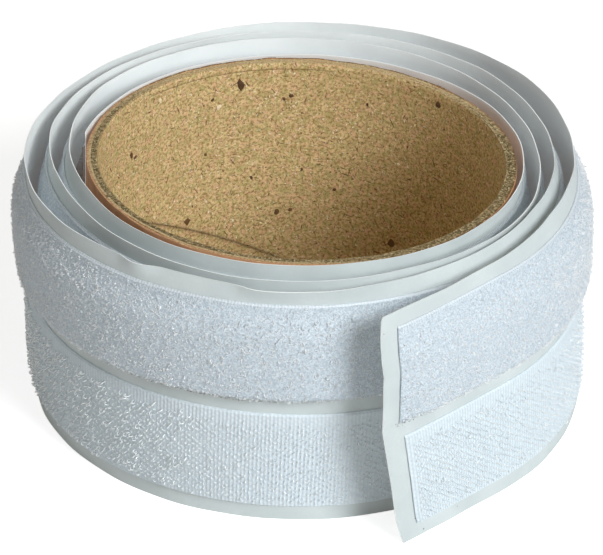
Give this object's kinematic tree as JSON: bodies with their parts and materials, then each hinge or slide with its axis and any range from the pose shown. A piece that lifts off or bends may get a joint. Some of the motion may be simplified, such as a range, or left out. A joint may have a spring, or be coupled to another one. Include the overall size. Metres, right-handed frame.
{
  "type": "hook and loop tape roll",
  "caption": "White self-adhesive hook strip and loop strip side by side on a release liner, wound loosely round a spiral paper core, with a free end that stands off the roll.",
  "frame": {"origin": "middle of the roll's outer box, at the level that it stands on", "axes": "+Z along the core, up from the face that the roll stands on, with the loop strip above the hook strip; -Y towards the cut free end, which stands off the roll at the front right"},
  "size_m": [0.108, 0.1192, 0.049],
  "materials": {
    "kraft_board": "matte",
    "smooth_kraft": "matte",
    "release_paper": "satin",
    "clear_adhesive": "gloss",
    "woven_ground": "matte",
    "white_pile": "matte",
    "nylon_hooks": "satin"
  },
  "bodies": {
    "winding": {"release_liner": "release_paper", "loop_adhesive": "clear_adhesive", "loop_ground": "woven_ground", "loop_pile": "white_pile", "hook_adhesive": "clear_adhesive", "hook_ground": "woven_ground", "hook_field": "nylon_hooks"},
    "core": {"core_inner_ply": "kraft_board", "core_second_ply": "kraft_board", "core_middle_ply": "kraft_board", "core_fourth_ply": "kraft_board", "core_outer_ply": "smooth_kraft"},
    "free_end": {"release_liner_free_end": "release_paper", "loop_adhesive_free_end": "clear_adhesive", "loop_ground_free_end": "woven_ground", "loop_pile_free_end": "white_pile", "hook_adhesive_free_end": "clear_adhesive", "hook_ground_free_end": "woven_ground", "hook_field_free_end": "nylon_hooks"}
  },
  "joints": [
    {"name": "core_slide", "type": "slide", "parent": "winding", "child": "core", "axis": [0, 0, 1], "range_m": [0, 0.04]},
    {"name": "free_end_lift", "type": "hinge", "parent": "winding", "child": "free_end", "pos_m": [0.0404, -0.03573, 0.0245], "axis": [0, 0, 1], "range_deg": [-4, 75], "stiffness_Nm_per_rad": 0.003}
  ]
}
